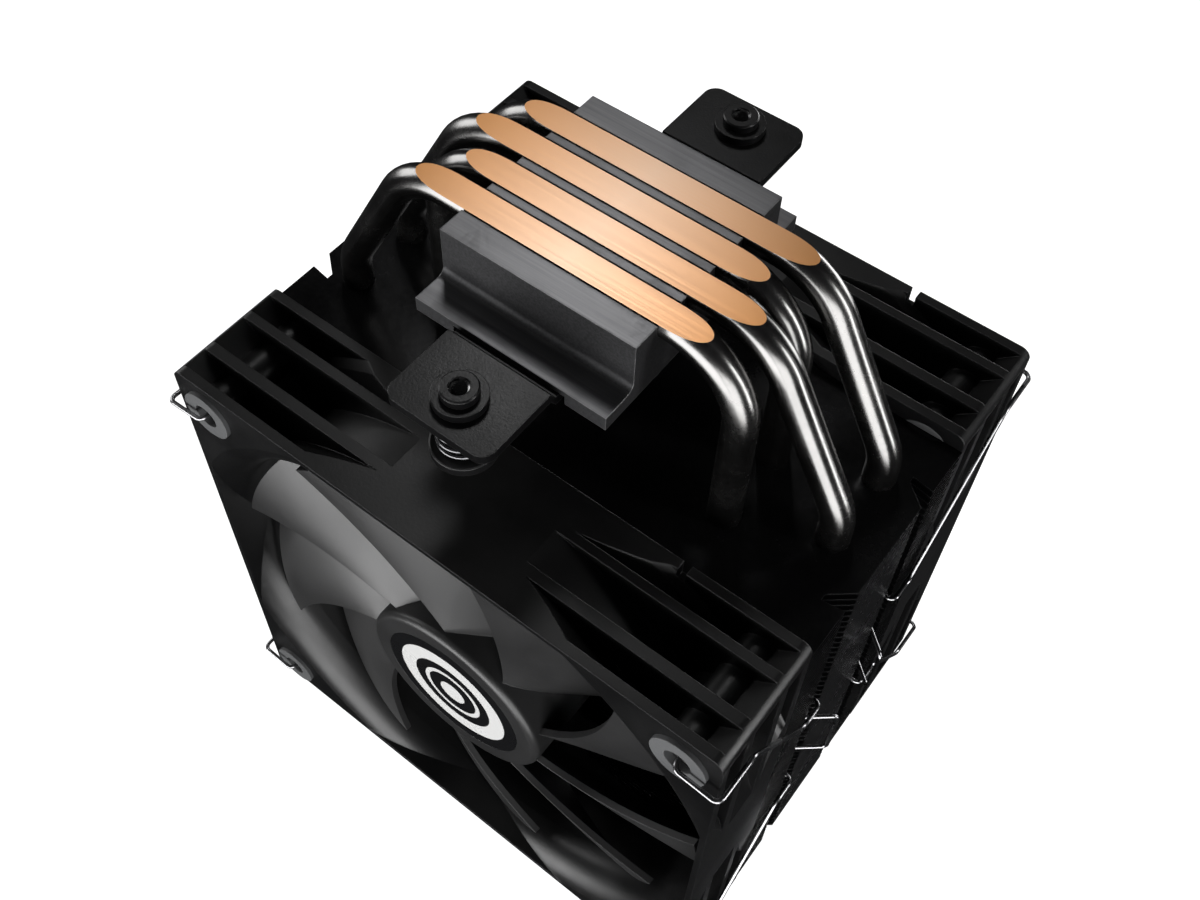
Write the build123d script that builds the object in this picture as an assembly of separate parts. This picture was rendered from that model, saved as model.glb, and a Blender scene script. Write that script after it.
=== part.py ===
from build123d import *
import math
import os

# CPU tower cooler: one fin tower between two 120 mm fans, standing with its contact face up.
# Millimetres. The origin is the centre of the contact face and +Z points out of that face.
# X runs across the fans. Y is the way the air goes, from the front fan to the rear fan.

# Base and heat pipes
block_width = 38.4
block_depth = 39.5
shoulder_depth = 53.4
shoulder_z = -10.2
block_height = 13.2
shoulder_fillet = 1.6
pipe_radius = 3.0
pipe_pitch = 7.6
pipe_flat_width = 5.4
solder_gap = 0.05
pipe_axis_z = -math.sqrt(pipe_radius**2 - (pipe_flat_width / 2) ** 2)
long_arm_corner_x = 32.6
long_arm_x = 51.0
long_arm_knee_z = -35.1
short_arm_x = 34.0
long_bend = 15.0
short_bend = 14.5
pipe_end_z = -155.2
pipe_tip = 1.6

# Crossbar with its two sprung nuts
bar_half_width = 10.3
bar_thickness = 1.9
bar_half_length = 44.4
bar_corner = 2.6
ear_top_z = -9.4
joggle_y = 27.6
joggle_run = 1.2
channel_clearance = 1.0
nut_y = 37.8
nut_radius = 3.2
nut_top_z = -6.2
nut_head_radius = 5.7
nut_head_z = -20.4
nut_head_height = 2.0
nut_thread_radius = 1.62
nut_thread_depth = 11.0
groove_radius = 2.6
ring_radius = 4.55
ring_height = 1.5
ring_gap_angle = 135.0
running_gap = 0.05
spring_mean_radius = 4.2
spring_wire_radius = 0.45
spring_turns = 4.5
screw_y = 9.0
screw_radius = 1.5
screw_head_radius = 2.8
screw_head_height = 1.6
screw_depth = 5.6

# Fin tower
fin_width = 120.0
tower_depth = 50.0
fin_gap = 0.03
fin_top_z = -42.1
fin_thickness = 0.4
fin_pitch = 2.0
fin_count = 56
pipe_hole_radius = pipe_radius + solder_gap
fold_half_width = 9.8
fold_height = fin_pitch - 0.15
notch_mouth = (14.6, 10.4)
notch_floor = (15.2, 13.9)
notch_depth = 4.2
cover_z = -154.1
cover_thickness = 0.8

# Fans: local Y runs from the intake face to the exhaust face, and the axis is at x = z = 0
fan_size = 120.0
fan_half = fan_size / 2
fan_depth = 25.0
fan_top_z = -38.4
fan_axis_z = fan_top_z - fan_half
frame_corner = 2.2
frame_wall = 1.2
side_band = 3.5
web_thickness = 1.4
plate_spans = ((0.0, 2.0), (6.8, 9.0), (16.4, 18.3), (23.1, 25.0))
mouth_radius = 65.9
bore_radius = 58.8
duct_outer_radius = 61.8
rear_mouth_radius = 63.8
bell_end = 8.7
rear_bell_start = 17.6
hole_offset = 52.5
hole_radius = 2.15
boss_radius = 4.0
pad_radius = 5.4
pad_bore = 2.6
pad_recess = 0.8
pad_rise = 0.8
cup_radius = 20.6
cup_floor = 22.6
tube_radius = 5.0
tube_bore = 4.0
tube_start = 8.0
strut_angle = 59.0
strut_width = 2.6
strut_depth = 2.6
cable_strut_width = 6.5
cable_notch = (35.0, 36.7)

# Rotor
hub_radius = 21.35
hub_face = 2.0
hub_back = 19.6
hub_wall = 1.35
hub_cap = 1.8
badge_radius = 16.5
badge_thickness = 0.25
blade_count = 9
blade_root_angle = 15.3
blade_sweep = 34.0
blade_tip_radius = 57.3
blade_front = 4.0
blade_rise = 12.6
blade_thickness = 1.4
root_chord = 46.0
tip_chord = 42.0
shaft_radius = 1.5
shaft_gap = 0.03

# Wire fan clips
wire_radius = 0.45
clip_side_x = 61.2
clip_front = 2.0
clip_reach = 3.2
clip_hook_drop = 0.9
clip_knee_y = 8.0
clip_low_y = 30.7
clip_groove_y = 36.6
clip_knee_drop = 9.0
clip_low_drop = 40.8
spine_x = 57.6
handle_half = 7.6
handle_x = 64.0
handle_y = 42.0


def save(shape, name):
    shape.label = name
    export_step(shape, "parts/" + name + ".step")


def disc(radius, start, end):
    return Pos(0, (start + end) / 2, 0) * Rot(90, 0, 0) * Cylinder(radius, end - start)


def ring(inner, outer, start, end):
    return disc(outer, start, end) - disc(inner, start - 1, end + 1)


def upright(radius, low, high):
    return Pos(0, 0, (low + high) / 2) * Cylinder(radius, high - low)


def at_fan(shape, start_y):
    return Pos(0, start_y, fan_axis_z) * shape


def pipe_rows():
    return [(index - 1.5) * pipe_pitch for index in range(4)]


def pipe_side(index):
    return -1 if index % 2 == 0 else 1


def heat_pipe(index):
    side = pipe_side(index)
    points = [
        (side * long_arm_x, 0, pipe_end_z),
        (side * long_arm_x, 0, long_arm_knee_z),
        (side * long_arm_corner_x, 0, pipe_axis_z),
        (-side * short_arm_x, 0, pipe_axis_z),
        (-side * short_arm_x, 0, pipe_end_z),
    ]
    path = FilletPolyline(*points, radius=[long_bend, long_bend, short_bend])
    section = Plane(origin=points[0], z_dir=(0, 0, 1)) * Circle(pipe_radius)
    pipe = sweep(section, path=path)
    for x in (side * long_arm_x, -side * short_arm_x):
        tip = Cone(pipe_radius / 2, pipe_radius, pipe_tip)
        pipe += Pos(x, 0, pipe_end_z - pipe_tip / 2) * tip
    pipe -= Pos(0, 0, pipe_radius) * Box(2 * fin_width, 4 * pipe_radius, 2 * pipe_radius)
    return Pos(0, pipe_rows()[index], 0) * pipe


def base_block():
    half = block_depth / 2
    outer = shoulder_depth / 2
    wall = outer - half
    profile = Polyline(
        (-half, 0), (half, 0), (half, shoulder_z), (outer, shoulder_z), (outer, -block_height),
        (-outer, -block_height), (-outer, shoulder_z), (-half, shoulder_z), close=True,
    )
    face = make_face(Plane.YZ * profile)
    block = extrude(face, amount=block_width / 2, both=True)
    inner = [e for e in block.edges().filter_by(Axis.X)
             if abs(e.center().Z - shoulder_z) < 0.01 and abs(e.center().Y) < half + wall / 2]
    block = fillet(inner, shoulder_fillet)
    for y in pipe_rows():
        trough = Rot(0, 90, 0) * Cylinder(pipe_radius + solder_gap, 2 * block_width)
        block -= Pos(0, y, pipe_axis_z) * trough
        slot_height = -pipe_axis_z
        slot = Box(2 * block_width, 2 * (pipe_radius + solder_gap), 2 * slot_height)
        block -= Pos(0, y, pipe_axis_z + slot_height) * slot
    channel = 2 * (bar_half_width + channel_clearance)
    block -= Pos(0, 0, -block_height) * Box(channel, 2 * shoulder_depth, 2 * bar_thickness)
    for y in (-screw_y, screw_y):
        top = screw_depth - block_height
        block -= Pos(0, y, 0) * upright(screw_radius + 0.02, -block_height - 1, top + 0.3)
    return block


def crossbar():
    low = -block_height
    step = ear_top_z - bar_thickness - low
    ramp = joggle_y + joggle_run
    upper = [(-bar_half_length, ear_top_z), (-ramp, ear_top_z), (-joggle_y, ear_top_z - step),
             (joggle_y, ear_top_z - step), (ramp, ear_top_z), (bar_half_length, ear_top_z)]
    lower = [(y, z - bar_thickness) for y, z in reversed(upper)]
    face = make_face(Plane.YZ * Polyline(*(upper + lower), close=True))
    bar = extrude(face, amount=bar_half_width, both=True)
    ends = [e for e in bar.edges().filter_by(Axis.Z) if abs(e.center().Y) > bar_half_length - 0.1]
    bar = fillet(ends, bar_corner)
    for y in (-nut_y, nut_y):
        bar -= Pos(0, y, 0) * upright(nut_radius + running_gap, -20, 0)
    for y in (-screw_y, screw_y):
        bar -= Pos(0, y, 0) * upright(screw_radius + 0.2, -20, 0)
    return bar


def crossbar_screws():
    screws = []
    for y in (-screw_y, screw_y):
        shank = upright(screw_radius, -block_height, screw_depth - block_height)
        head = upright(screw_head_radius, -block_height - screw_head_height, -block_height)
        socket = upright(1.1, -block_height - screw_head_height - 1, -block_height - 0.6)
        screws.append(Pos(0, y, 0) * (shank + head - socket))
    return Compound(children=screws)


def spring_nut():
    nut = upright(nut_radius, nut_head_z, nut_top_z)
    nut = chamfer(nut.edges().filter_by(GeomType.CIRCLE).sort_by(Axis.Z)[-1], 0.35)
    head_low = nut_head_z - nut_head_height
    head = upright(nut_head_radius, head_low, nut_head_z)
    head = chamfer(head.edges().filter_by(GeomType.CIRCLE), 0.3)
    nut += head
    groove_low = ear_top_z + running_gap / 2
    groove_high = groove_low + ring_height + 2 * running_gap
    nut -= upright(nut_radius + 1, groove_low, groove_high) - upright(groove_radius, -30, 0)
    nut -= upright(nut_thread_radius, nut_top_z - nut_thread_depth, 1)
    for turn in (0, 90):
        nut -= Rot(0, 0, turn) * (Pos(0, 0, head_low) * Box(6.0, 1.1, 2.6))
    return nut


def stop_ring():
    low = ear_top_z + 1.5 * running_gap
    washer = upright(ring_radius, low, low + ring_height) - upright(groove_radius + running_gap, -30, 0)
    gap = Pos(ring_radius, 0, low) * Box(ring_radius * 2, 2.2, 4 * ring_height)
    return washer - Rot(0, 0, ring_gap_angle) * gap


def nut_spring():
    top = ear_top_z - bar_thickness
    height = top - nut_head_z - 2 * spring_wire_radius
    low = nut_head_z + spring_wire_radius
    coil = Helix(pitch=height / spring_turns, height=height, radius=spring_mean_radius)
    section = Plane(origin=coil @ 0, z_dir=coil % 0) * Circle(spring_wire_radius - 0.02)
    return Pos(0, 0, low) * sweep(section, path=coil, is_frenet=True)


def fin_outline():
    half_x = fin_width / 2
    half_y = tower_depth / 2 - fin_gap
    floor_x = half_x - notch_depth
    corner = [
        (half_x, notch_mouth[1]), (floor_x, notch_floor[1]),
        (floor_x, notch_floor[0]), (half_x, notch_mouth[0]), (half_x, half_y),
    ]
    right_back = corner
    left_back = [(-x, y) for x, y in reversed(corner)]
    left_front = [(-x, -y) for x, y in corner]
    right_front = [(x, -y) for x, y in reversed(corner)]
    return right_back + left_back + left_front + right_front


def pipe_places():
    places = []
    for index, y in enumerate(pipe_rows()):
        side = pipe_side(index)
        places += [(side * long_arm_x, y), (-side * short_arm_x, y)]
    return places


def fin_sheet(thickness):
    sheet = extrude(make_face(Polyline(*fin_outline(), close=True)), amount=-thickness)
    for x, y in pipe_places():
        sheet -= Pos(x, y, 0) * Cylinder(pipe_hole_radius, 4 * thickness)
    return sheet


def fin():
    sheet = fin_sheet(fin_thickness)
    for side in (-1, 1):
        x = side * (fin_width / 2 - fin_thickness / 2)
        sheet += Pos(x, 0, -fold_height / 2) * Box(fin_thickness, 2 * fold_half_width, fold_height)
    return sheet


def fin_stack():
    master = fin()
    return Compound(children=[Pos(0, 0, fin_top_z - i * fin_pitch) * master for i in range(fin_count)])


def end_cover():
    return Pos(0, 0, cover_z) * fin_sheet(cover_thickness)


def square_prism(half, start, end, corner):
    sketch = RectangleRounded(2 * half, 2 * half, corner)
    return Pos(0, end, 0) * extrude(Plane.XZ * sketch, amount=end - start)


def turned(outline):
    return revolve(make_face(outline), Axis.Y)


def flare(inner, outer, throat, mouth):
    width = outer - inner
    radius = (width**2 + (mouth - throat) ** 2) / (2 * width)
    centre_x = inner + radius
    turn = math.atan2(mouth - throat, outer - centre_x)
    half_turn = (math.copysign(math.pi, mouth - throat) + turn) / 2
    middle = (centre_x + radius * math.cos(half_turn), throat + radius * math.sin(half_turn))
    return ThreePointArc((inner, throat), middle, (outer, mouth))


def duct_void():
    outline = [
        Line((0, -1), (mouth_radius, -1)), Line((mouth_radius, -1), (mouth_radius, 0)),
        flare(bore_radius, mouth_radius, bell_end, 0),
        Line((bore_radius, bell_end), (bore_radius, rear_bell_start)),
        flare(bore_radius, rear_mouth_radius, rear_bell_start, fan_depth),
        Line((rear_mouth_radius, fan_depth), (rear_mouth_radius, fan_depth + 1)),
        Line((rear_mouth_radius, fan_depth + 1), (0, fan_depth + 1)),
        Line((0, fan_depth + 1), (0, -1)),
    ]
    inner_half = fan_half - frame_wall
    prism = square_prism(inner_half, -2, fan_depth + 2, frame_corner)
    return turned(Curve() + outline) & prism


def duct_body():
    outline = Polyline(
        (0, 0), (68.5, 0), (66.5, 2.0), (duct_outer_radius, 7.2), (duct_outer_radius, 17.8),
        (67.3, 21.5), (70.5, fan_depth), (0, fan_depth), close=True,
    )
    return turned(outline)


def corner_places():
    return [(x, z) for x in (-hole_offset, hole_offset) for z in (-hole_offset, hole_offset)]


def frame_shell():
    body = duct_body()
    for start, end in plate_spans:
        body += square_prism(fan_half, start, end, frame_corner)
    for x, z in corner_places():
        body += Pos(x, 0, z) * disc(boss_radius, 0, fan_depth)
        corner = Pos(math.copysign(fan_half, x), fan_depth / 2, math.copysign(fan_half, z))
        body += corner * Box(2 * frame_wall, fan_depth, 2 * side_band)
        reach = 2 * (fan_half * math.sqrt(2) - duct_outer_radius + 1)
        body += corner * Rot(0, -45 * math.copysign(1, x * z), 0) * Box(reach, fan_depth, web_thickness)
    body = body & square_prism(fan_half, 0, fan_depth, frame_corner)
    body -= duct_void()
    for x, z in corner_places():
        body -= Pos(x, 0, z) * disc(hole_radius, -1, fan_depth + 1)
        body -= Pos(x, 0, z) * disc(pad_radius, -1, pad_recess)
        body -= Pos(x, 0, z) * disc(pad_radius, fan_depth - pad_recess, fan_depth + 1)
    notch_width = cable_notch[1] - cable_notch[0]
    notch_x = (cable_notch[0] + cable_notch[1]) / 2
    notch = Box(notch_width, 2.4, 7.0)
    return body - Pos(notch_x, fan_depth - 1, fan_half) * notch


def motor_mount():
    mount = disc(cup_radius, cup_floor, fan_depth)
    mount -= disc(badge_radius + 2.1, fan_depth - 0.3, fan_depth + 1)
    mount += ring(cup_radius - 1.2, cup_radius, cup_floor - 1.8, cup_floor)
    mount += ring(tube_bore, tube_radius, tube_start, cup_floor + 0.2)
    reach = rear_mouth_radius + 1.0 - (cup_radius - 1)
    for turn in range(4):
        width = cable_strut_width if turn == 0 else strut_width
        bar = Box(reach, strut_depth, width)
        bar = fillet(bar.edges().filter_by(Axis.X), 0.7)
        middle = cup_radius - 1 + reach / 2
        mount += Rot(0, -strut_angle - 90 * turn, 0) * (Pos(middle, fan_depth - strut_depth / 2, 0) * bar)
    return mount


def fan_frame():
    return frame_shell() + motor_mount()


def blade_angle(radius, chord_share):
    span = max(0.0, (radius - hub_radius) / (blade_tip_radius - hub_radius))
    chord = root_chord + (tip_chord - root_chord) * span
    return blade_root_angle + blade_sweep * span**0.75 - chord * chord_share


def blade_height(radius, chord_share):
    span = max(0.0, (radius - hub_radius) / (blade_tip_radius - hub_radius))
    camber = 1.15 + 0.4 * span
    return blade_front + blade_thickness / 2 + blade_rise * chord_share**camber


def blade():
    steps = 7
    first = hub_radius - 0.9
    last = blade_tip_radius + 1.2
    grid = []
    for i in range(steps):
        radius = first + (last - first) * (i / (steps - 1)) ** 1.3
        row = []
        for j in range(steps):
            share = j / (steps - 1)
            turn = math.radians(blade_angle(radius, share))
            row.append(Vector(radius * math.cos(turn), blade_height(radius, share), radius * math.sin(turn)))
        grid.append(row)
    sheet = Face.make_surface_from_array_of_points(grid, min_deg=3, max_deg=5)
    solid = thicken(sheet, amount=blade_thickness / 2, both=True)
    return solid & ring(hub_radius - 0.9, blade_tip_radius, 0, fan_depth)


def impeller():
    hub = disc(hub_radius, hub_face, hub_back)
    hub = fillet(hub.edges().filter_by(GeomType.CIRCLE).sort_by(Axis.Y)[0], 1.5)
    hub -= disc(hub_radius - hub_wall, hub_face + hub_cap, hub_back + 1)
    hub -= disc(badge_radius + 0.1, hub_face - 1, hub_face + badge_thickness)
    hub += ring(shaft_radius, 3.6, hub_face + hub_cap - 0.2, hub_face + hub_cap + 2.4)
    master = blade()
    for index in range(blade_count):
        hub += Rot(0, -360 / blade_count * index, 0) * master
    return hub


def hub_badge():
    return disc(badge_radius, hub_face, hub_face + badge_thickness)


def rotor_ring():
    outer = hub_radius - hub_wall
    return ring(outer - 1.0, outer, hub_face + hub_cap + 0.1, hub_back - 0.4)


def magnet_ring():
    outer = hub_radius - hub_wall - 1.0
    return ring(outer - 1.6, outer, hub_face + hub_cap + 1.4, hub_back - 1.2)


def shaft():
    pin = disc(shaft_radius, hub_face + hub_cap, cup_floor - 0.3)
    groove = ring(shaft_radius - 0.4, shaft_radius + 1, 20.9, 21.3)
    return pin - groove


def shaft_clip():
    washer = ring(shaft_radius - 0.4, 2.9, 20.95, 21.25)
    return washer


def bearing():
    return ring(shaft_radius + shaft_gap, tube_bore, tube_start + 0.4, 20.4)


def stator_core():
    core = ring(tube_radius, 8.2, 9.2, 16.4)
    for turn in range(4):
        tooth = Pos(10.6, 12.8, 0) * Box(8.0, 7.2, 3.6)
        shoe = ring(14.2, 16.2, 9.2, 16.4) & Pos(15.0, 12.8, 0) * Box(8, 20, 15.5)
        core += Rot(0, 90 * turn, 0) * (tooth + shoe)
    return core


def stator_coils():
    coils = []
    for turn in range(4):
        outer = Pos(11.2, 12.8, 0) * Box(5.2, 11.2, 7.4)
        outer = fillet(outer.edges().filter_by(Axis.X), 1.6)
        coil = outer - Pos(11.2, 12.8, 0) * Box(12, 7.3, 3.7)
        coils.append(Rot(0, 90 * turn, 0) * coil)
    return Compound(children=coils)


def circuit_board():
    board = ring(tube_radius + 0.2, 17.4, 20.6, 21.7)
    chip = Pos(11.5, 20.1, 0) * Box(4.4, 1.0, 3.2)
    return board + chip


def rear_label():
    return disc(badge_radius + 2.0, fan_depth - 0.3, fan_depth - 0.1)


def corner_pads(intake_rise, exhaust_rise):
    spans = ((-intake_rise, pad_recess), (fan_depth - pad_recess, fan_depth + exhaust_rise))
    pads = []
    for x, z in corner_places():
        for start, end in spans:
            pads.append(Pos(x, 0, z) * ring(pad_bore, pad_radius - 0.05, start, end))
    return Compound(children=pads)


def fan_clip():
    front = -tower_depth / 2 - fan_depth
    hook_z = fan_top_z - (fan_half - hole_offset)
    upper = [
        (hole_offset, front + clip_reach, hook_z),
        (hole_offset, front - clip_front, hook_z),
        (clip_side_x, front - clip_front, hook_z - clip_hook_drop),
        (clip_side_x, front + clip_knee_y, fan_top_z - clip_knee_drop),
        (clip_side_x, front + clip_low_y, fan_top_z - clip_low_drop),
        (clip_side_x, front + clip_groove_y, fan_top_z - clip_low_drop),
        (spine_x, front + clip_groove_y, fan_top_z - clip_low_drop - 0.4),
        (spine_x, front + clip_groove_y, fan_axis_z + handle_half),
        (handle_x, front + handle_y, fan_axis_z + handle_half),
    ]
    lower = [(x, y, 2 * fan_axis_z - z) for x, y, z in reversed(upper)]
    bends = [1.3, 1.3, 3.0, 3.0, 1.3, 1.3, 1.3, 1.3]
    path = FilletPolyline(*(upper + lower), radius=bends + bends[::-1])
    section = Plane(origin=path @ 0, z_dir=path % 0) * Circle(wire_radius)
    return sweep(section, path=path)


def rotor_parts():
    return {
        "impeller": impeller(),
        "hub_badge": hub_badge(),
        "rotor_ring": rotor_ring(),
        "magnet": magnet_ring(),
        "shaft": shaft(),
        "shaft_clip": shaft_clip(),
    }


def stator_parts():
    return {
        "frame": fan_frame(),
        "bearing": bearing(),
        "stator_core": stator_core(),
        "stator_coils": stator_coils(),
        "circuit_board": circuit_board(),
        "label": rear_label(),
    }


def save_fans():
    pieces = rotor_parts() | stator_parts()
    front_y = -tower_depth / 2 - fan_depth
    rear_y = tower_depth / 2
    for fan_name, start_y, rises in (("front", front_y, (pad_rise, 0)), ("rear", rear_y, (0, pad_rise))):
        for part_name, shape in pieces.items():
            save(at_fan(shape, start_y), fan_name + "_" + part_name)
        save(at_fan(corner_pads(*rises), start_y), fan_name + "_corner_pads")


def save_clips():
    clip = fan_clip()
    for fan_name, back in (("front", False), ("rear", True)):
        for side_name, left in (("right", False), ("left", True)):
            shape = clip
            if left:
                shape = mirror(shape, Plane.YZ)
            if back:
                shape = mirror(shape, Plane.XZ)
            save(shape, fan_name + "_" + side_name + "_clip")


def save_fasteners():
    pieces = {"nut": spring_nut(), "stop_ring": stop_ring(), "nut_spring": nut_spring()}
    for fan_name, y in (("front", -nut_y), ("rear", nut_y)):
        for part_name, shape in pieces.items():
            save(Pos(0, y, 0) * shape, fan_name + "_" + part_name)


def main():
    os.makedirs("parts", exist_ok=True)
    save(base_block(), "base_block")
    for index in range(4):
        save(heat_pipe(index), "heat_pipe_" + str(index + 1))
    save(crossbar(), "crossbar")
    save(crossbar_screws(), "crossbar_screws")
    save(fin_stack(), "fin_stack")
    save(end_cover(), "end_cover")
    save_fasteners()
    save_clips()
    save_fans()


main()
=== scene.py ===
import math

import bmesh
import bpy
from mathutils import Matrix, Vector


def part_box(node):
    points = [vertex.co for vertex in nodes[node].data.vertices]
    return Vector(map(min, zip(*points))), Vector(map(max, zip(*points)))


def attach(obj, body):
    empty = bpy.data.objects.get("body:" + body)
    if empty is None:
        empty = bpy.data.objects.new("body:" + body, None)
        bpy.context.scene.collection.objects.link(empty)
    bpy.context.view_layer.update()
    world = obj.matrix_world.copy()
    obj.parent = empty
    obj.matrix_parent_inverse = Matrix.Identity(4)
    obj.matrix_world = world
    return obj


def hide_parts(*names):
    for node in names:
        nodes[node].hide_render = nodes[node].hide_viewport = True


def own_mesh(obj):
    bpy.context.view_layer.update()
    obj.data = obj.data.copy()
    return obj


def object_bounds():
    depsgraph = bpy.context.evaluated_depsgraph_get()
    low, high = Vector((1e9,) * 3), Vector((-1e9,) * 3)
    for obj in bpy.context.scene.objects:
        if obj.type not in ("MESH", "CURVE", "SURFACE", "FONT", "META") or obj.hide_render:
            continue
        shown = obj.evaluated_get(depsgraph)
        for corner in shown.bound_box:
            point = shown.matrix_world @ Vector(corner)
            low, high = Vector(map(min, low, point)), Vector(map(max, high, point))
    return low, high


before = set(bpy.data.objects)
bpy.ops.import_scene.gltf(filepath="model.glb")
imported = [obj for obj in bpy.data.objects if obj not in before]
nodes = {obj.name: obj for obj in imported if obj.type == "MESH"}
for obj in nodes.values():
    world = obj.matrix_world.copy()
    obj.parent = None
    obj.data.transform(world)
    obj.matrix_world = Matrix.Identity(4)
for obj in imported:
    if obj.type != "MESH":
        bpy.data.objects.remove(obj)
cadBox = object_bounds()
mm = 0.001
mergeDistance = 0.002 * mm
print("frame loaded:", len(nodes), "nodes")


def boxOf(name):
    # a node's lowest and highest corners in millimetres
    low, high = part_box(name)
    return Vector(low) / mm, Vector(high) / mm


# small helpers for node trees

def addNode(tree, kind, **settings):
    node = tree.nodes.new(kind)
    for name, value in settings.items():
        setattr(node, name, value)
    return node


def feed(tree, source, target):
    # a number or colour is written on the socket, another socket is linked
    if isinstance(source, bpy.types.NodeSocket):
        tree.links.new(source, target)
    else:
        target.default_value = source


def mathNode(tree, operation, first, second=None, clamp=False):
    node = addNode(tree, "ShaderNodeMath", operation=operation, use_clamp=clamp)
    feed(tree, first, node.inputs[0])
    if second is not None:
        feed(tree, second, node.inputs[1])
    return node.outputs[0]


def mixColour(tree, factor, first, second):
    node = addNode(tree, "ShaderNodeMix", data_type="RGBA")
    feed(tree, factor, node.inputs["Factor"])
    feed(tree, first, node.inputs["A"])
    feed(tree, second, node.inputs["B"])
    return node.outputs["Result"]


def mapRange(tree, value, low, high, toLow=0.0, toHigh=1.0):
    node = addNode(tree, "ShaderNodeMapRange")
    for socket, number in zip(node.inputs, (value, low, high, toLow, toHigh)):
        feed(tree, number, socket)
    return node.outputs[0]


def objectSpace(tree):
    return addNode(tree, "ShaderNodeTexCoord").outputs["Object"]


def objectPoint(tree, scale=(1, 1, 1), shift=(0, 0, 0)):
    mapping = addNode(tree, "ShaderNodeMapping")
    feed(tree, objectSpace(tree), mapping.inputs["Vector"])
    mapping.inputs["Location"].default_value = shift
    feed(tree, scale, mapping.inputs["Scale"])
    return mapping.outputs["Vector"]


def splitVector(tree, vector):
    node = addNode(tree, "ShaderNodeSeparateXYZ")
    feed(tree, vector, node.inputs[0])
    return node.outputs


def surface(tree, output):
    return addNode(tree, "ShaderNodeNewGeometry").outputs[output]


def noise(tree, point, scale, detail=2.0, rough=0.5):
    node = addNode(tree, "ShaderNodeTexNoise")
    feed(tree, point, node.inputs["Vector"])
    feed(tree, scale, node.inputs["Scale"])
    node.inputs["Detail"].default_value = detail
    node.inputs["Roughness"].default_value = rough
    return node.outputs["Fac"]


def newGroup(name, inputs, outputs):
    group = bpy.data.node_groups.new(name, "ShaderNodeTree")
    for label, kind, value in inputs:
        socket = group.interface.new_socket(label, in_out="INPUT", socket_type=kind)
        socket.default_value = value
    for label, kind in outputs:
        group.interface.new_socket(label, in_out="OUTPUT", socket_type=kind)
    put = group.nodes.new("NodeGroupInput").outputs
    get = group.nodes.new("NodeGroupOutput").inputs
    return group, put, get


# effects shared by several materials

def makeGrain():
    # fine moulded or blasted texture: a height for the bump and a slow roughness change
    group, put, get = newGroup(
        "surfaceGrain",
        [("Grain Size", "NodeSocketFloat", 1500.0), ("Patch Size", "NodeSocketFloat", 60.0),
         ("Roughness", "NodeSocketFloat", 0.4), ("Spread", "NodeSocketFloat", 0.08)],
        [("Height", "NodeSocketFloat"), ("Roughness", "NodeSocketFloat"),
         ("Patches", "NodeSocketFloat")],
    )
    where = objectSpace(group)
    fine = noise(group, where, put["Grain Size"])
    slow = noise(group, where, put["Patch Size"], detail=4.0)
    patches = mapRange(group, slow, 0.3, 0.7)
    # both noises swing about their middle value
    centred = [mathNode(group, "SUBTRACT", value, 0.5) for value in (patches, fine)]
    swing, speck = [mathNode(group, "MULTIPLY", value, put["Spread"]) for value in centred]
    varied = mathNode(group, "ADD", swing, speck)
    total = mathNode(group, "ADD", varied, put["Roughness"], clamp=True)
    feed(group, fine, get["Height"])
    feed(group, total, get["Roughness"])
    feed(group, patches, get["Patches"])
    return group


def makeToolLines():
    # long fine lines left by a cutter, along the axis that Squeeze scales least
    group, put, get = newGroup(
        "toolLines",
        [("Squeeze", "NodeSocketVector", (20.0, 900.0, 900.0))],
        [("Height", "NodeSocketFloat"), ("Lines", "NodeSocketFloat")],
    )
    lines = noise(group, objectPoint(group, put["Squeeze"]), 1.0, detail=6.0, rough=0.7)
    feed(group, lines, get["Height"])
    feed(group, mapRange(group, lines, 0.35, 0.65), get["Lines"])
    return group


def makeEdgeWear():
    # 1 along sharp outer edges, broken up so that it looks handled
    group, put, get = newGroup(
        "edgeWear",
        [("Width", "NodeSocketFloat", 0.0003), ("Breakup", "NodeSocketFloat", 300.0)],
        [("Mask", "NodeSocketFloat")],
    )
    soft = addNode(group, "ShaderNodeBevel", samples=4)
    feed(group, put["Width"], soft.inputs["Radius"])
    dot = addNode(group, "ShaderNodeVectorMath", operation="DOT_PRODUCT")
    feed(group, soft.outputs["Normal"], dot.inputs[0])
    feed(group, surface(group, "Normal"), dot.inputs[1])
    edge = mapRange(group, dot.outputs["Value"], 0.995, 0.8)
    spots = noise(group, objectSpace(group), put["Breakup"])
    broken = mapRange(group, spots, 0.35, 0.6, 0.35, 1.0)
    feed(group, mathNode(group, "MULTIPLY", edge, broken, clamp=True), get["Mask"])
    return group


def makeDust():
    # a little pale dust on faces that look up
    group, put, get = newGroup(
        "restingDust",
        [("Amount", "NodeSocketFloat", 0.1)],
        [("Mask", "NodeSocketFloat")],
    )
    facing = mapRange(group, splitVector(group, surface(group, "Normal"))["Z"], 0.2, 1.0)
    spread = mapRange(group, noise(group, objectSpace(group), 45.0, detail=8.0), 0.4, 0.75)
    settled = mathNode(group, "MULTIPLY", facing, spread)
    feed(group, mathNode(group, "MULTIPLY", settled, put["Amount"], clamp=True), get["Mask"])
    return group


grainGroup = makeGrain()
toolLinesGroup = makeToolLines()
edgeWearGroup = makeEdgeWear()
dustGroup = makeDust()


def placeGroup(tree, group, **values):
    node = addNode(tree, "ShaderNodeGroup", node_tree=group)
    for name, value in values.items():
        feed(tree, value, node.inputs[name.replace("_", " ")])
    return node.outputs


def newMaterial(name):
    material = bpy.data.materials.new(name)
    material.use_nodes = True
    tree = material.node_tree
    return material, tree, tree.nodes["Principled BSDF"].inputs


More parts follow.
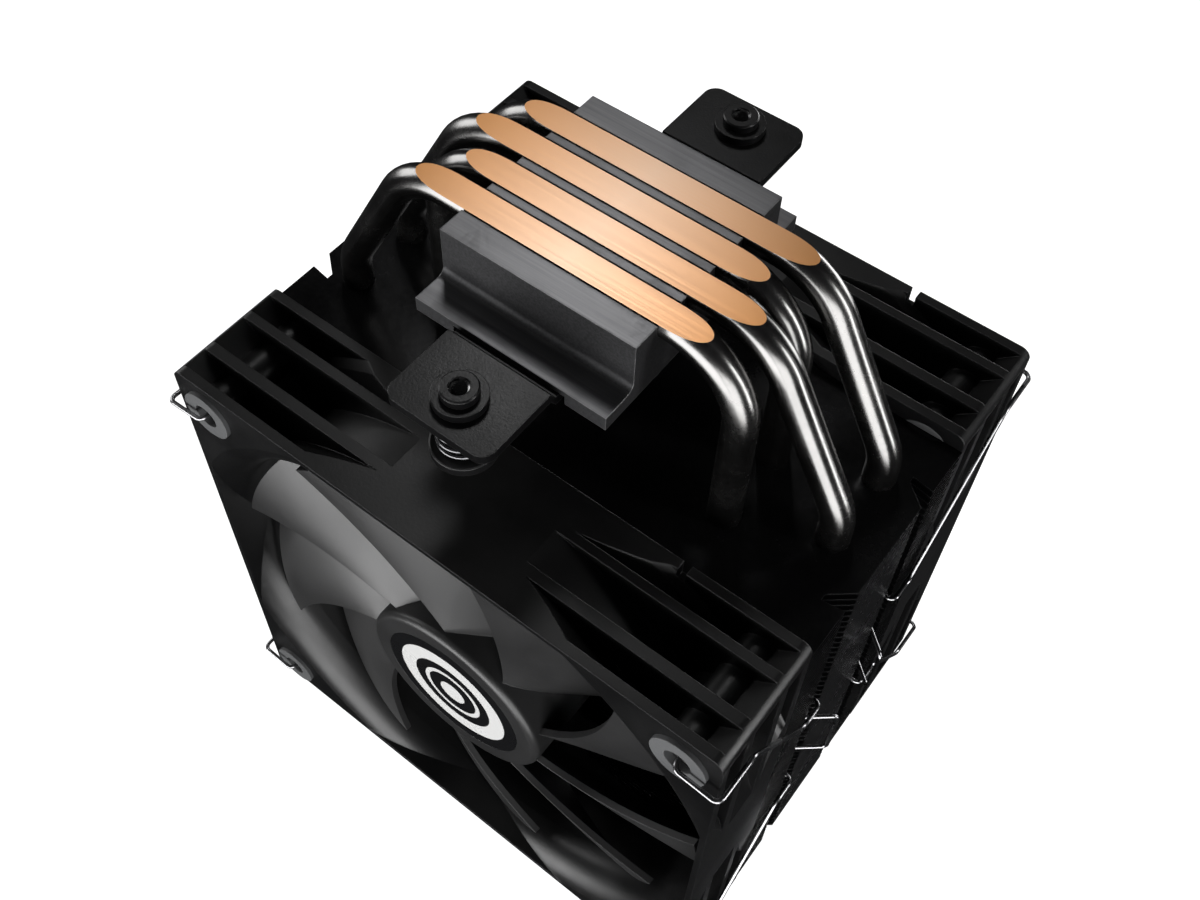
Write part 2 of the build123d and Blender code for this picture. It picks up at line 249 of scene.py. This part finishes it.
def bump(tree, height, strength, distance, normal=None):
    node = addNode(tree, "ShaderNodeBump")
    node.inputs["Strength"].default_value = strength
    node.inputs["Distance"].default_value = distance
    feed(tree, height, node.inputs["Height"])
    if normal is not None:
        feed(tree, normal, node.inputs["Normal"])
    return node.outputs["Normal"]


def roundedEdges(tree, radius):
    node = addNode(tree, "ShaderNodeBevel", samples=4)
    node.inputs["Radius"].default_value = radius
    return node.outputs["Normal"]


# materials

def satinFinish(name, look):
    # any plain finish: grain, edge wear, dust and slightly rounded edges
    shared = dict(dustColour=(0.32, 0.31, 0.3, 1), grainDepth=0.00005)
    material, tree, shader = newMaterial(name)
    grain = placeGroup(tree, grainGroup, Grain_Size=look["grainSize"], Roughness=look["roughness"],
                       Spread=look["spread"])
    wear = placeGroup(tree, edgeWearGroup, Width=look["edge"])
    dust = placeGroup(tree, dustGroup, Amount=look["dust"])
    colour = mixColour(tree, grain["Patches"], look["dark"], look["light"])
    colour = mixColour(tree, wear["Mask"], colour, look["worn"])
    colour = mixColour(tree, dust["Mask"], colour, shared["dustColour"])
    feed(tree, colour, shader["Base Color"])
    feed(tree, grain["Roughness"], shader["Roughness"])
    shader["Metallic"].default_value = look["metal"]
    shader["Specular IOR Level"].default_value = look["specular"]
    rounded = roundedEdges(tree, look["edge"])
    height = bump(tree, grain["Height"], look["bump"], shared["grainDepth"], rounded)
    feed(tree, height, shader["Normal"])
    return material


finishes = {
    "framePlastic": dict(dark=(0.005, 0.005, 0.0053, 1), light=(0.0075, 0.0075, 0.0078, 1),
                         worn=(0.03, 0.03, 0.031, 1), roughness=0.38, spread=0.12, grainSize=1800.0,
                         edge=0.0003, dust=0.03, metal=0.0, specular=0.5, bump=0.25),
    "bladePlastic": dict(dark=(0.028, 0.028, 0.0285, 1), light=(0.036, 0.036, 0.0365, 1),
                         worn=(0.05, 0.05, 0.05, 1), roughness=0.4, spread=0.08, grainSize=1500.0,
                         edge=0.0002, dust=0.02, metal=0.0, specular=0.6, bump=0.15),
    "blackPlating": dict(dark=(0.005, 0.005, 0.0055, 1), light=(0.008, 0.008, 0.0085, 1),
                         worn=(0.08, 0.08, 0.08, 1), roughness=0.36, spread=0.1, grainSize=2600.0,
                         edge=0.00025, dust=0.05, metal=0.35, specular=0.5, bump=0.5),
    "finPlating": dict(dark=(0.006, 0.006, 0.0065, 1), light=(0.01, 0.01, 0.0105, 1),
                       worn=(0.07, 0.07, 0.07, 1), roughness=0.24, spread=0.1, grainSize=900.0,
                       edge=0.00008, dust=0.0, metal=0.4, specular=0.4, bump=0.2),
    "springWire": dict(dark=(0.3, 0.3, 0.31, 1), light=(0.42, 0.42, 0.43, 1),
                       worn=(0.7, 0.7, 0.7, 1), roughness=0.26, spread=0.14, grainSize=1200.0,
                       edge=0.0001, dust=0.0, metal=1.0, specular=0.5, bump=0.2),
    "coilSteel": dict(dark=(0.1, 0.1, 0.105, 1), light=(0.16, 0.16, 0.165, 1),
                      worn=(0.35, 0.35, 0.35, 1), roughness=0.24, spread=0.12, grainSize=1200.0,
                      edge=0.0001, dust=0.0, metal=1.0, specular=0.5, bump=0.2),
    "cutThread": dict(dark=(0.22, 0.22, 0.22, 1), light=(0.32, 0.32, 0.32, 1),
                      worn=(0.45, 0.45, 0.45, 1), roughness=0.3, spread=0.1, grainSize=1600.0,
                      edge=0.0001, dust=0.0, metal=1.0, specular=0.5, bump=0.2),
    "padRubber": dict(dark=(0.1, 0.102, 0.105, 1), light=(0.13, 0.133, 0.136, 1),
                      worn=(0.2, 0.2, 0.2, 1), roughness=0.55, spread=0.1, grainSize=1400.0,
                      edge=0.0003, dust=0.1, metal=0.0, specular=0.4, bump=0.5),
    "turnedSteel": dict(dark=(0.3, 0.3, 0.31, 1), light=(0.42, 0.42, 0.43, 1),
                        worn=(0.6, 0.6, 0.6, 1), roughness=0.3, spread=0.12, grainSize=1500.0,
                        edge=0.0002, dust=0.0, metal=1.0, specular=0.5, bump=0.2),
    "darkFerrite": dict(dark=(0.02, 0.02, 0.02, 1), light=(0.035, 0.035, 0.035, 1),
                        worn=(0.06, 0.06, 0.06, 1), roughness=0.6, spread=0.1, grainSize=900.0,
                        edge=0.0002, dust=0.0, metal=0.0, specular=0.4, bump=0.6),
    "paleNylon": dict(dark=(0.6, 0.58, 0.52, 1), light=(0.68, 0.66, 0.6, 1),
                      worn=(0.75, 0.74, 0.7, 1), roughness=0.4, spread=0.1, grainSize=900.0,
                      edge=0.0001, dust=0.0, metal=0.0, specular=0.5, bump=0.2),
    "sinteredBronze": dict(dark=(0.35, 0.22, 0.1, 1), light=(0.45, 0.3, 0.14, 1),
                           worn=(0.6, 0.42, 0.22, 1), roughness=0.42, spread=0.12, grainSize=1400.0,
                           edge=0.0001, dust=0.0, metal=1.0, specular=0.5, bump=0.5),
    "greenBoard": dict(dark=(0.005, 0.05, 0.02, 1), light=(0.01, 0.08, 0.03, 1),
                       worn=(0.3, 0.28, 0.2, 1), roughness=0.3, spread=0.1, grainSize=700.0,
                       edge=0.0001, dust=0.0, metal=0.0, specular=0.5, bump=0.1),
    "darkFilm": dict(dark=(0.012, 0.012, 0.013, 1), light=(0.018, 0.018, 0.019, 1),
                     worn=(0.04, 0.04, 0.04, 1), roughness=0.3, spread=0.08, grainSize=1100.0,
                     edge=0.0001, dust=0.03, metal=0.0, specular=0.5, bump=0.1),
}
materials = {name: satinFinish(name, look) for name, look in finishes.items()}


def hubPrint():
    # plain pale rings printed on the dark film, centred on the fan's axis
    rings = dict(edges=((0.0096, 0.0134), (0.0060, 0.0071), (0.0, 0.0031)), soft=0.00005,
                 ink=(0.86, 0.86, 0.85, 1), wornInk=(0.5, 0.5, 0.5, 1), wear=0.12,
                 film=(0.008, 0.008, 0.009, 1))
    low, high = boxOf("front_hub_badge")
    axisZ = (low.z + high.z) / 2 * mm
    material, tree, shader = newMaterial("hubPrint")
    away = addNode(tree, "ShaderNodeVectorMath", operation="LENGTH")
    feed(tree, objectPoint(tree, (1, 0, 1), (0, 0, -axisZ)), away.inputs[0])
    radius = away.outputs["Value"]
    printed = 0.0
    for inner, outer in rings["edges"]:
        past = mapRange(tree, radius, inner - rings["soft"], inner + rings["soft"])
        within = mapRange(tree, radius, outer + rings["soft"], outer - rings["soft"])
        printed = mathNode(tree, "ADD", printed, mathNode(tree, "MULTIPLY", past, within))
    grain = placeGroup(tree, grainGroup, Grain_Size=1600.0, Patch_Size=120.0, Roughness=0.3,
                       Spread=0.08)
    wear = mathNode(tree, "MULTIPLY", grain["Patches"], rings["wear"])
    ink = mixColour(tree, wear, rings["ink"], rings["wornInk"])
    feed(tree, mixColour(tree, printed, rings["film"], ink), shader["Base Color"])
    feed(tree, grain["Roughness"], shader["Roughness"])
    feed(tree, bump(tree, grain["Height"], 0.1, 0.00003), shader["Normal"])
    return material


def milledBlock():
    # the top is cut in fine lines, the walls are dull and a little speckled, and the walls also get
    # a darker colour as painted shade
    look = dict(dark=(0.15, 0.15, 0.155, 1), light=(0.2, 0.2, 0.205, 1),
                wallShadeDark=(0.05, 0.05, 0.052, 1), wallShadeLight=(0.085, 0.085, 0.088, 1),
                worn=(0.5, 0.5, 0.5, 1), wornAmount=0.6, topRoughness=0.38, wallRoughness=0.56,
                edge=0.0003, cutDepth=0.00005)
    material, tree, shader = newMaterial("milledBlock")
    facing = splitVector(tree, surface(tree, "True Normal"))
    level = mapRange(tree, facing["Z"], 0.9, 0.98)
    lines = placeGroup(tree, toolLinesGroup, Squeeze=(25.0, 1400.0, 1400.0))
    grain = placeGroup(tree, grainGroup, Grain_Size=1300.0, Patch_Size=90.0, Roughness=0.0,
                       Spread=0.16)
    speckle = placeGroup(tree, grainGroup, Grain_Size=4200.0, Patch_Size=2600.0, Roughness=0.0,
                         Spread=0.1)
    wear = placeGroup(tree, edgeWearGroup, Width=0.0002)
    top = mixColour(tree, lines["Lines"], look["dark"], look["light"])
    # painted shade: the walls take a darker colour than the top
    wall = mixColour(tree, speckle["Patches"], look["wallShadeDark"], look["wallShadeLight"])
    colour = mixColour(tree, level, wall, top)
    edge = mathNode(tree, "MULTIPLY", wear["Mask"], look["wornAmount"])
    feed(tree, mixColour(tree, edge, colour, look["worn"]), shader["Base Color"])
    base = mapRange(tree, level, 0.0, 1.0, look["wallRoughness"], look["topRoughness"])
    feed(tree, mathNode(tree, "ADD", base, grain["Roughness"]), shader["Roughness"])
    shader["Metallic"].default_value = 1.0
    cuts = mathNode(tree, "MULTIPLY", lines["Height"], level)
    height = mathNode(tree, "ADD", cuts, speckle["Height"])
    rounded = roundedEdges(tree, look["edge"])
    feed(tree, bump(tree, height, 0.25, look["cutDepth"], rounded), shader["Normal"])
    return material


def platedPipe():
    # black nickel all round, cut through to bright copper on the milled flat
    look = dict(nickelDark=(0.17, 0.167, 0.164, 1), nickelLight=(0.22, 0.216, 0.212, 1),
                copper=(0.76, 0.345, 0.11, 1), copperHighlight=(0.82, 0.58, 0.42, 1), highlightReach=0.036,
                cutBelow=0.00002, cutFacing=0.99, cutRoughness=(0.34, 0.42))
    material, tree, shader = newMaterial("platedPipe")
    where = splitVector(tree, objectPoint(tree))
    facing = splitVector(tree, surface(tree, "True Normal"))
    high = mathNode(tree, "GREATER_THAN", where["Z"], -look["cutBelow"])
    flat = mathNode(tree, "GREATER_THAN", facing["Z"], look["cutFacing"])
    milled = mathNode(tree, "MULTIPLY", high, flat)
    lines = placeGroup(tree, toolLinesGroup, Squeeze=(18.0, 2400.0, 900.0))
    grain = placeGroup(tree, grainGroup, Grain_Size=900.0, Patch_Size=70.0, Roughness=0.25,
                       Spread=0.08)
    nickel = mixColour(tree, grain["Patches"], look["nickelDark"], look["nickelLight"])
    # painted highlight: the middle of the flat is paler than its ends, standing in for the top
    # light's reflection
    middle = mapRange(tree, mathNode(tree, "ABSOLUTE", where["X"]), look["highlightReach"], 0.0)
    streaks = mapRange(tree, lines["Lines"], 0.0, 1.0, 0.85, 1.0)
    paintedHighlight = mathNode(tree, "MULTIPLY", middle, streaks)
    copper = mixColour(tree, paintedHighlight, look["copper"], look["copperHighlight"])
    feed(tree, mixColour(tree, milled, nickel, copper), shader["Base Color"])
    cut = mapRange(tree, lines["Lines"], 0.0, 1.0, *look["cutRoughness"])
    blend = addNode(tree, "ShaderNodeMix", data_type="FLOAT")
    feed(tree, milled, blend.inputs["Factor"])
    feed(tree, grain["Roughness"], blend.inputs["A"])
    feed(tree, cut, blend.inputs["B"])
    feed(tree, blend.outputs["Result"], shader["Roughness"])
    shader["Metallic"].default_value = 1.0
    height = mathNode(tree, "MULTIPLY", lines["Height"], milled)
    feed(tree, bump(tree, height, 0.15, 0.00003), shader["Normal"])
    return material


def coilWindings():
    # turns of enamelled wire round each tooth, with painted shade in the grooves between turns and
    # a painted highlight on each turn's crown
    look = dict(groove=(0.25, 0.07, 0.02, 1), crownHighlight=(0.6, 0.24, 0.1, 1), turnScale=450.0,
                uneven=0.6, grooveRoughness=0.45, crownRoughness=0.25)
    material, tree, shader = newMaterial("coilWindings")
    wave = addNode(tree, "ShaderNodeTexWave", wave_type="BANDS", bands_direction="Y")
    feed(tree, objectPoint(tree), wave.inputs["Vector"])
    wave.inputs["Scale"].default_value = look["turnScale"]
    wave.inputs["Distortion"].default_value = look["uneven"]
    turns = wave.outputs["Fac"]
    # painted shade in the grooves, painted highlight on the crowns
    feed(tree, mixColour(tree, turns, look["groove"], look["crownHighlight"]), shader["Base Color"])
    roughness = mapRange(tree, turns, 0.0, 1.0, look["grooveRoughness"], look["crownRoughness"])
    feed(tree, roughness, shader["Roughness"])
    shader["Metallic"].default_value = 1.0
    feed(tree, bump(tree, turns, 0.6, 0.0001), shader["Normal"])
    return material


for make in (hubPrint, milledBlock, platedPipe, coilWindings):
    materials[make.__name__] = make()

# which finish each part of the frame takes
nodeFinish = {
    "base_block": "milledBlock", "heat_pipe": "platedPipe", "crossbar": "blackPlating",
    "crossbar_screws": "turnedSteel", "fin_stack": "finPlating", "end_cover": "finPlating",
    "impeller": "bladePlastic", "hub_badge": "hubPrint", "rotor_ring": "turnedSteel",
    "magnet": "darkFerrite", "shaft": "turnedSteel", "shaft_clip": "paleNylon",
    "frame": "framePlastic", "bearing": "sinteredBronze", "stator_core": "turnedSteel",
    "stator_coils": "coilWindings", "circuit_board": "greenBoard", "label": "darkFilm",
    "corner_pads": "padRubber", "nut": "blackPlating", "stop_ring": "blackPlating",
    "nut_spring": "springWire", "clip": "springWire",
}


def finishOf(name):
    for start in ("front_", "rear_"):
        name = name.removeprefix(start)
    for side in ("right_", "left_"):
        name = name.removeprefix(side)
    return nodeFinish[name if name in nodeFinish else name.rstrip("_1234")]


def dressFrame():
    for name, node in nodes.items():
        node.data.materials.clear()
        node.data.materials.append(materials[finishOf(name)])


dressFrame()
print("finishes made:", len(materials))


# pieces made here, some of which replace a plain frame solid

def keepPiece(name, shape, body, finish, replaced=(), crease=35.0):
    mesh = bpy.data.meshes.new(name)
    shape.to_mesh(mesh)
    shape.free()
    mesh.materials.append(materials[finish])
    mesh.shade_smooth()
    mesh.set_sharp_from_angle(angle=math.radians(crease))
    piece = bpy.data.objects.new(name, mesh)
    bpy.context.scene.collection.objects.link(piece)
    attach(piece, body)
    if replaced:
        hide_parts(*replaced)
    return piece


def chainOf(shape, points, closed=False):
    # vertices joined one after another, in millimetres
    verts = [shape.verts.new(Vector(point) * mm) for point in points]
    pairs = list(zip(verts, verts[1:])) + ([(verts[-1], verts[0])] if closed else [])
    return verts + [shape.edges.new(pair) for pair in pairs]


def onlyVerts(geometry):
    return [item for item in geometry if isinstance(item, bmesh.types.BMVert)]


def spinRound(shape, geometry, steps, angle=2 * math.pi, rise=0.0, merge=True):
    # turns a section about the upright line through the origin, climbing by rise
    step = Vector((0, 0, rise * mm / steps))
    spun = bmesh.ops.spin(shape, geom=geometry, cent=(0, 0, 0), axis=(0, 0, 1), dvec=step,
                          angle=angle, steps=steps, use_merge=merge, use_duplicate=False)
    return spun["geom_last"]


def closeUp(shape):
    bmesh.ops.remove_doubles(shape, verts=shape.verts, dist=mergeDistance)
    bmesh.ops.holes_fill(shape, edges=shape.edges, sides=0)
    bmesh.ops.recalc_face_normals(shape, faces=shape.faces)


def moveTo(shape, x, y, z):
    bmesh.ops.translate(shape, verts=shape.verts, vec=Vector((x, y, z)) * mm)


def nutOutline(look, low, top):
    head, headTop, floor = look["headRadius"], low + look["headHeight"], top - look["depth"]
    grooveHigh, grooveLow = top - look["groove"][0], top - look["groove"][1]
    radius, bore, chamfer = look["radius"], look["bore"], look["chamfer"]
    return [
        (0, 0, floor), (bore, 0, floor), (bore, 0, top - look["lip"]),
        (bore + look["lip"], 0, top), (radius - chamfer, 0, top), (radius, 0, top - chamfer),
        (radius, 0, grooveHigh), (look["grooveRadius"], 0, grooveHigh),
        (look["grooveRadius"], 0, grooveLow), (radius, 0, grooveLow), (radius, 0, headTop),
        (head - chamfer, 0, headTop), (head, 0, headTop - chamfer),
        (head, 0, low + chamfer), (head - chamfer, 0, low), (0, 0, low),
    ]


def makeNuts():
    look = dict(radius=3.2, headHeight=2.0, headRadius=5.7, chamfer=0.25, lip=0.15, bore=1.64,
                depth=11.0, groove=(1.575, 3.175), grooveRadius=2.6, facets=64, pitch=0.55,
                threadTip=1.3, threadHalf=0.24, threadSteps=20, threadAboveFloor=0.5,
                threadBelowTop=0.4, threadSink=0.02, slotWidth=1.1, slotLength=6.0, slotDepth=1.3)
    for side in ("front", "rear"):
        low, high = boxOf(side + "_nut")
        y = (low.y + high.y) / 2
        shape = bmesh.new()
        spinRound(shape, chainOf(shape, nutOutline(look, low.z, high.z)), look["facets"])
        closeUp(shape)
        moveTo(shape, 0, y, 0)
        nut = keepPiece(side + "NutPiece", shape, side + "_nut", "blackPlating",
                        [side + "_nut"])
        cutSlots(nut, crossCutter(look, y, low.z))
        addThread(side, look, y, high.z)


def crossCutter(look, y, low):
    # a plus-shaped block that stands through the nut's lower face
    far, near, depth = look["slotLength"] / 2, look["slotWidth"] / 2, look["slotDepth"]
    quarter = [(far, -near), (far, near), (near, near)]
    outline = []
    for turn in range(4):
        spin = Matrix.Rotation(turn * math.pi / 2, 3, "Z")
        outline += [spin @ Vector((x, up, 0)) for x, up in quarter]
    cutter = bmesh.new()
    base = cutter.faces.new(onlyVerts(chainOf(cutter, outline, closed=True)))
    raised = bmesh.ops.extrude_face_region(cutter, geom=[base])["geom"]
    bmesh.ops.translate(cutter, verts=onlyVerts(raised), vec=(0, 0, 2 * depth * mm))
    bmesh.ops.recalc_face_normals(cutter, faces=cutter.faces)
    moveTo(cutter, 0, y, low - depth)
    return cutter


def cutSlots(piece, cutter):
    # the cut is applied, so the piece keeps no modifier
    mesh = bpy.data.meshes.new("cutter")
    cutter.to_mesh(mesh)
    cutter.free()
    tool = bpy.data.objects.new("cutter", mesh)
    bpy.context.scene.collection.objects.link(tool)
    cut = piece.modifiers.new("cut", "BOOLEAN")
    cut.object = tool
    graph = bpy.context.evaluated_depsgraph_get()
    result = bpy.data.meshes.new_from_object(piece.evaluated_get(graph))
    piece.modifiers.remove(cut)
    piece.data = result
    bpy.data.objects.remove(tool)


def addThread(side, look, y, top):
    # one long ridge that winds up the hole
    ridge = bmesh.new()
    start = top - look["depth"] + look["threadAboveFloor"]
    end = top - look["threadBelowTop"]
    turns = (end - start) / look["pitch"]
    wall = look["bore"] + look["threadSink"]
    profile = [(wall, 0, start - look["threadHalf"]), (look["threadTip"], 0, start),
               (wall, 0, start + look["threadHalf"])]
    section = chainOf(ridge, profile, closed=True)
    spinRound(ridge, section, int(turns * look["threadSteps"]), 2 * math.pi * turns, end - start,
              merge=False)
    closeUp(ridge)
    moveTo(ridge, 0, y, 0)
    keepPiece(side + "ThreadPiece", ridge, side + "_nut", "cutThread")


def makeNutSprings():
    # the first and last turns lie almost wire on wire
    look = dict(coilRadius=4.2, wireRadius=0.43, wireSides=10, gap=0.02, endTurns=1.0,
                endSpacing=1.04, activeTurns=3.5, stepsPerTurn=28, press=3.0)
    low, high = boxOf("front_nut_spring")
    height = high.z - low.z - 2 * (look["wireRadius"] + look["gap"])
    endRise = 2 * look["wireRadius"] * look["endTurns"] * look["endSpacing"]
    closed = (look["endTurns"], endRise)
    runs = (closed, (look["activeTurns"], height - 2 * endRise), closed)
    for side in ("front", "rear"):
        low, high = boxOf(side + "_nut_spring")
        y = (low.y + high.y) / 2
        shape = bmesh.new()
        bmesh.ops.create_circle(shape, segments=look["wireSides"], radius=look["wireRadius"] * mm)
        bmesh.ops.rotate(shape, verts=shape.verts, matrix=Matrix.Rotation(math.pi / 2, 3, "X"))
        moveTo(shape, look["coilRadius"], 0, low.z + look["wireRadius"] + look["gap"])
        geometry = shape.verts[:] + shape.edges[:]
        for turns, rise in runs:
            geometry = spinRound(shape, geometry, int(turns * look["stepsPerTurn"]),
                                 2 * math.pi * turns, rise, merge=False)
        closeUp(shape)
        moveTo(shape, 0, y, 0)
        spring = keepPiece(side + "SpringPiece", shape, "tower", "coilSteel",
                           [side + "_nut_spring"], crease=60.0)
        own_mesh(spring)


def makeFinCollars():
    # the drawn rims that grip the heat pipes under every fin
    look = dict(inner=3.03, outer=3.4, height=1.0, root=0.3, flare=0.4, taper=0.05, facets=10,
                pitch=2.0, count=56)
    stackTop = boxOf("fin_stack")[1].z
    places = []
    for number in range(1, 5):
        low, high = boxOf(f"heat_pipe_{number}")
        radius = (high.y - low.y) / 2
        places += [(low.x + radius, low.y + radius), (high.x - radius, low.y + radius)]
    collar = bmesh.new()
    root, tip = -look["root"], -look["root"] - look["height"]
    profile = [(look["outer"] + look["flare"], 0, root), (look["outer"] - look["taper"], 0, tip),
               (look["inner"], 0, tip), (look["inner"], 0, root)]
    spinRound(collar, chainOf(collar, profile, closed=True), look["facets"])
    closeUp(collar)
    master = collar.verts[:] + collar.edges[:] + collar.faces[:]
    for level in range(look["count"]):
        for x, y in places:
            copy = bmesh.ops.duplicate(collar, geom=master)["geom"]
            shift = Vector((x, y, stackTop - level * look["pitch"])) * mm
            bmesh.ops.translate(collar, verts=onlyVerts(copy), vec=shift)
    bmesh.ops.delete(collar, geom=onlyVerts(master), context="VERTS")
    keepPiece("finCollars", collar, "tower", "finPlating", crease=50.0)


makeNuts()
makeNutSprings()
makeFinCollars()
print("nuts, springs and fin collars made")


# camera, floor and light

def addCamera():
    view = dict(place=(0.08708, -0.12386, 0.15840), forward=(-0.35888542, 0.47701915, -0.80228049),
                up=(-0.49844339, 0.62877247, 0.5968244), lens=41.09, shiftX=0.0176, shiftY=-0.0573)
    data = bpy.data.cameras.new("camera")
    data.lens = view["lens"]
    data.sensor_width = 36.0
    data.shift_x = view["shiftX"]
    data.shift_y = view["shiftY"]
    data.clip_start = 0.01
    data.clip_end = 10.0
    camera = bpy.data.objects.new("camera", data)
    back = -Vector(view["forward"]).normalized()
    right = Vector(view["up"]).cross(back).normalized()
    turn = Matrix((right, back.cross(right), back)).transposed().to_4x4()
    camera.matrix_world = Matrix.Translation(view["place"]) @ turn
    bpy.context.scene.collection.objects.link(camera)
    bpy.context.scene.camera = camera


def addFloor():
    look = dict(halfWidth=3.0, drop=0.0002, colour=(0.6, 0.6, 0.6, 1), glow=0.97)
    shape = bmesh.new()
    bmesh.ops.create_grid(shape, x_segments=1, y_segments=1, size=look["halfWidth"])
    bmesh.ops.translate(shape, verts=shape.verts, vec=(0, 0, cadBox[0].z - look["drop"]))
    mesh = bpy.data.meshes.new("floor")
    shape.to_mesh(mesh)
    shape.free()
    floor = bpy.data.objects.new("floor", mesh)
    bpy.context.scene.collection.objects.link(floor)
    material, tree, shader = newMaterial("floorPaper")
    shader["Base Color"].default_value = look["colour"]
    shader["Roughness"].default_value = 0.9
    shader["Emission Color"].default_value = (1, 1, 1, 1)
    shader["Emission Strength"].default_value = look["glow"]
    mesh.materials.append(material)
    floor.visible_glossy = False
    floor.visible_diffuse = False


def addLight(name, place, target, size, power):
    data = bpy.data.lights.new(name, "AREA")
    data.shape = "RECTANGLE"
    data.size, data.size_y = size
    data.energy = power
    light = bpy.data.objects.new(name, data)
    aim = Vector(place) - Vector(target)
    turn = aim.to_track_quat("Z", "Y").to_matrix().to_4x4()
    light.matrix_world = Matrix.Translation(place) @ turn
    bpy.context.scene.collection.objects.link(light)


def addBackdrop():
    # a dim room that is seen as plain white paper
    world = bpy.data.worlds.new("studio")
    world.use_nodes = True
    tree = world.node_tree
    room = tree.nodes["Background"]
    room.inputs["Color"].default_value = (0.5, 0.5, 0.52, 1)
    room.inputs["Strength"].default_value = 0.03
    paper = addNode(tree, "ShaderNodeBackground")
    paper.inputs["Color"].default_value = (1, 1, 1, 1)
    paper.inputs["Strength"].default_value = 1.0
    seen = addNode(tree, "ShaderNodeMixShader")
    feed(tree, addNode(tree, "ShaderNodeLightPath").outputs["Is Camera Ray"], seen.inputs["Fac"])
    feed(tree, room.outputs["Background"], seen.inputs[1])
    feed(tree, paper.outputs["Background"], seen.inputs[2])
    feed(tree, seen.outputs["Shader"], tree.nodes["World Output"].inputs["Surface"])
    bpy.context.scene.world = world


def addStudio():
    fans = (0, -0.05, -0.1)
    pipes = (0.02, 0, -0.02)
    block = (0.004, 0, 0)
    lights = dict(
        topSoftbox=dict(place=(-0.16, 0.2, 0.36), target=block, size=(0.1, 0.1), power=0.24),
        rightStrip=dict(place=(0.8, 0.2, 0.08), target=pipes, size=(0.12, 0.75), power=3.2),
        leftBox=dict(place=(-0.75, -0.04, 0.14), target=pipes, size=(0.4, 0.4), power=1.9),
        frontBroad=dict(place=(-0.1, -0.9, -0.2), target=fans, size=(1.3, 0.65), power=15.0),
        frontRight=dict(place=(0.7, -0.62, -0.2), target=fans, size=(0.6, 0.8), power=8.0),
        rearFill=dict(place=(0.1, 0.9, -0.12), target=fans, size=(0.9, 0.3), power=5.0),
    )
    for name, light in lights.items():
        addLight(name, **light)
    addBackdrop()
    bpy.context.scene.view_settings.view_transform = "Standard"


addCamera()
addFloor()
addStudio()
print("studio ready")
